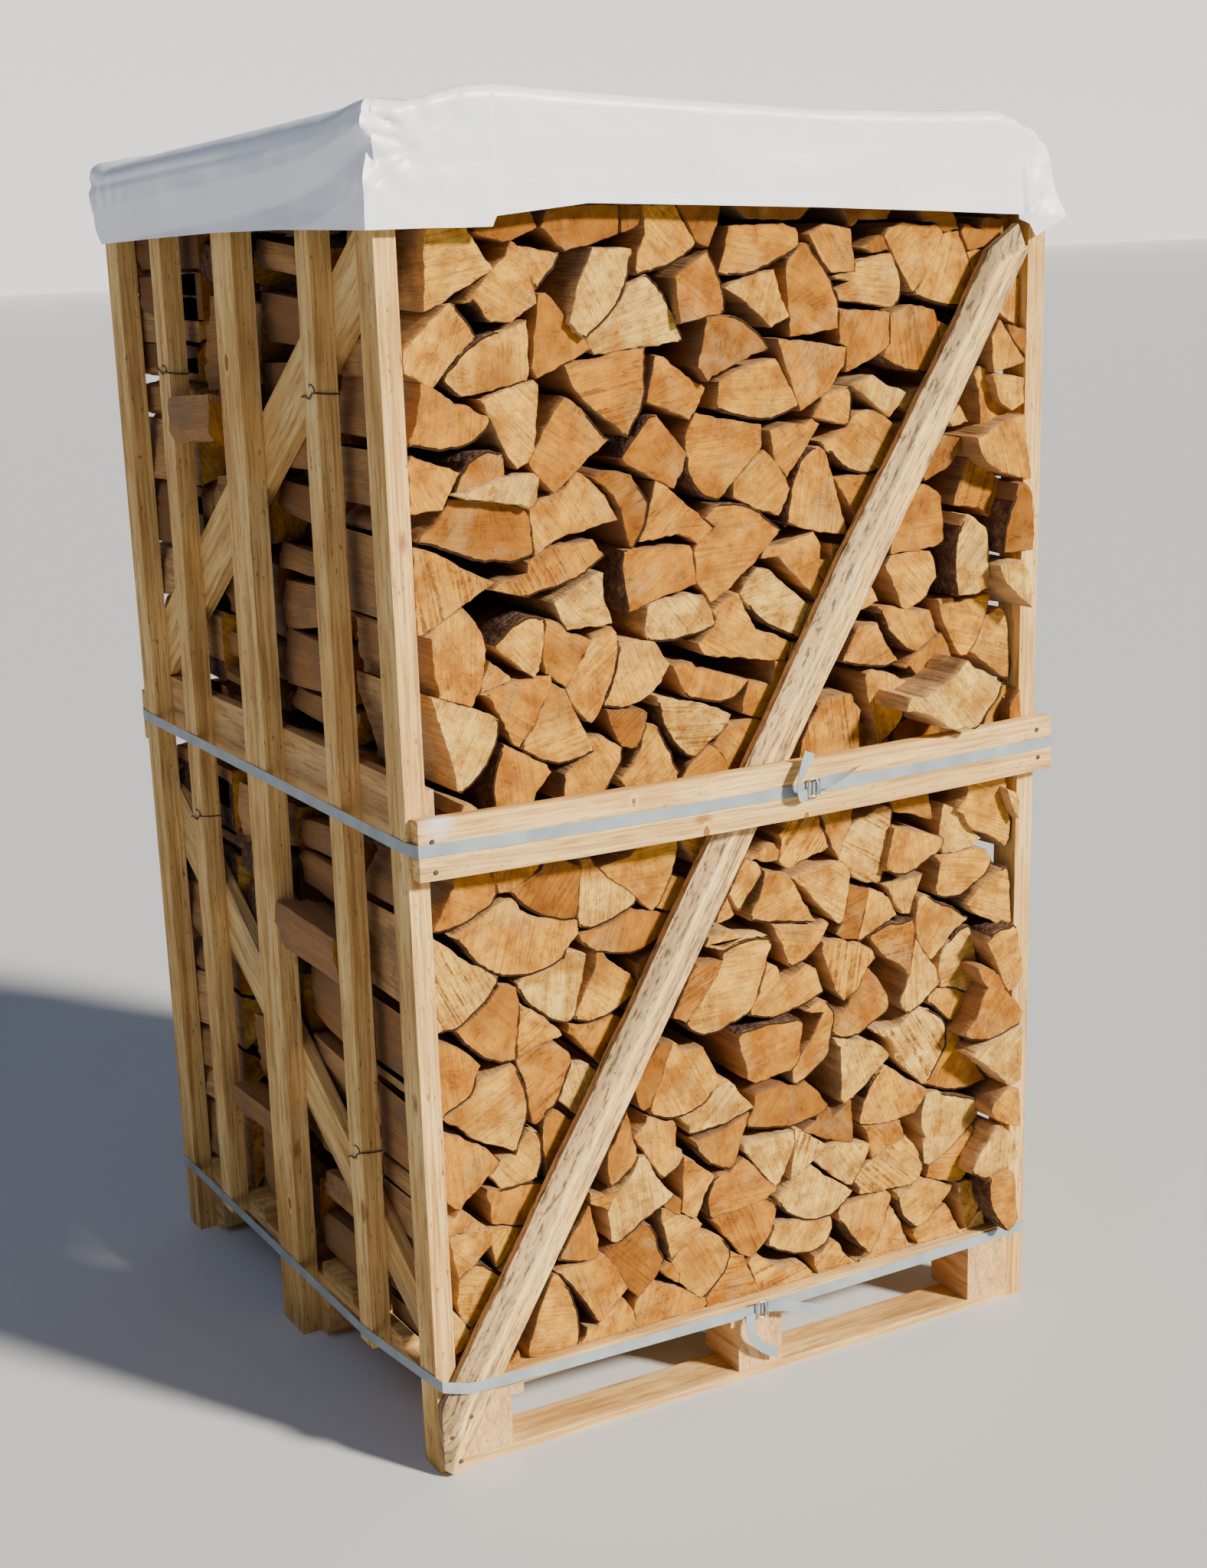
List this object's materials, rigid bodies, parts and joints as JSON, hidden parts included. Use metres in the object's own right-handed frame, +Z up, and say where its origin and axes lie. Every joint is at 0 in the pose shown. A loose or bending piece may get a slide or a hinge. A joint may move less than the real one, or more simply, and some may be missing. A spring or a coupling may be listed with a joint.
{
  "type": "pallet of beech firewood",
  "caption": "Pine crate on a pallet base, packed with rows of split beech logs, with a bowed rail, a long slanting brace, two straps and a white foil cover",
  "frame": {"origin": "on the ground under the middle of the whole crate's outer box", "axes": "+Z up, -Y toward the braced front, +X to the right seen from the front"},
  "size_m": [1.03, 1.0916, 1.766],
  "materials": {
    "pine": "sawn softwood, lightly yellowed",
    "weathered_pine": "sawn softwood slab, greyed and blue-stained",
    "beech": "split beech with sawn ends and bark",
    "webbing": "grey woven polyester strap",
    "steel": "galvanised wire",
    "foil": "white polyethylene foil, creased"
  },
  "bodies": {
    "root": {"post_front_left": "pine", "post_front_right": "pine", "post_back_left": "pine", "post_back_right": "pine", "slat_left_front": "pine", "slat_left_middle_a": "pine", "slat_left_middle_b": "pine", "slat_left_back": "pine", "slat_right_front": "pine", "slat_right_middle_a": "pine", "slat_right_middle_b": "pine", "slat_right_back": "pine", "side_board_left": "pine", "side_board_right": "pine", "diagonal_upper_left": "pine", "diagonal_upper_right": "pine", "diagonal_lower_left": "weathered_pine", "diagonal_lower_right": "weathered_pine", "rail_front": "pine", "rail_back": "pine", "brace_front": "weathered_pine", "brace_back": "weathered_pine", "bottom_board_front": "pine", "bottom_board_middle": "pine", "bottom_board_back": "pine", "block_front_left": "pine", "block_front_centre": "pine", "block_front_right": "pine", "block_middle_left": "pine", "block_middle_centre": "pine", "block_middle_right": "pine", "block_back_left": "pine", "block_back_centre": "pine", "block_back_right": "pine", "stringer_left": "pine", "stringer_centre": "pine", "stringer_right": "pine", "deck_board_1": "pine", "deck_board_2": "pine", "deck_board_3": "pine", "deck_board_4": "pine", "deck_board_5": "pine", "deck_board_6": "pine", "firewood_row_1": "beech", "firewood_row_2": "beech", "firewood_row_3": "beech", "firewood_row_4": "beech", "strap_middle": "webbing", "strap_bottom": "webbing", "buckle_middle": "steel", "buckle_bottom": "steel", "cover": "foil"}
  },
  "joints": []
}
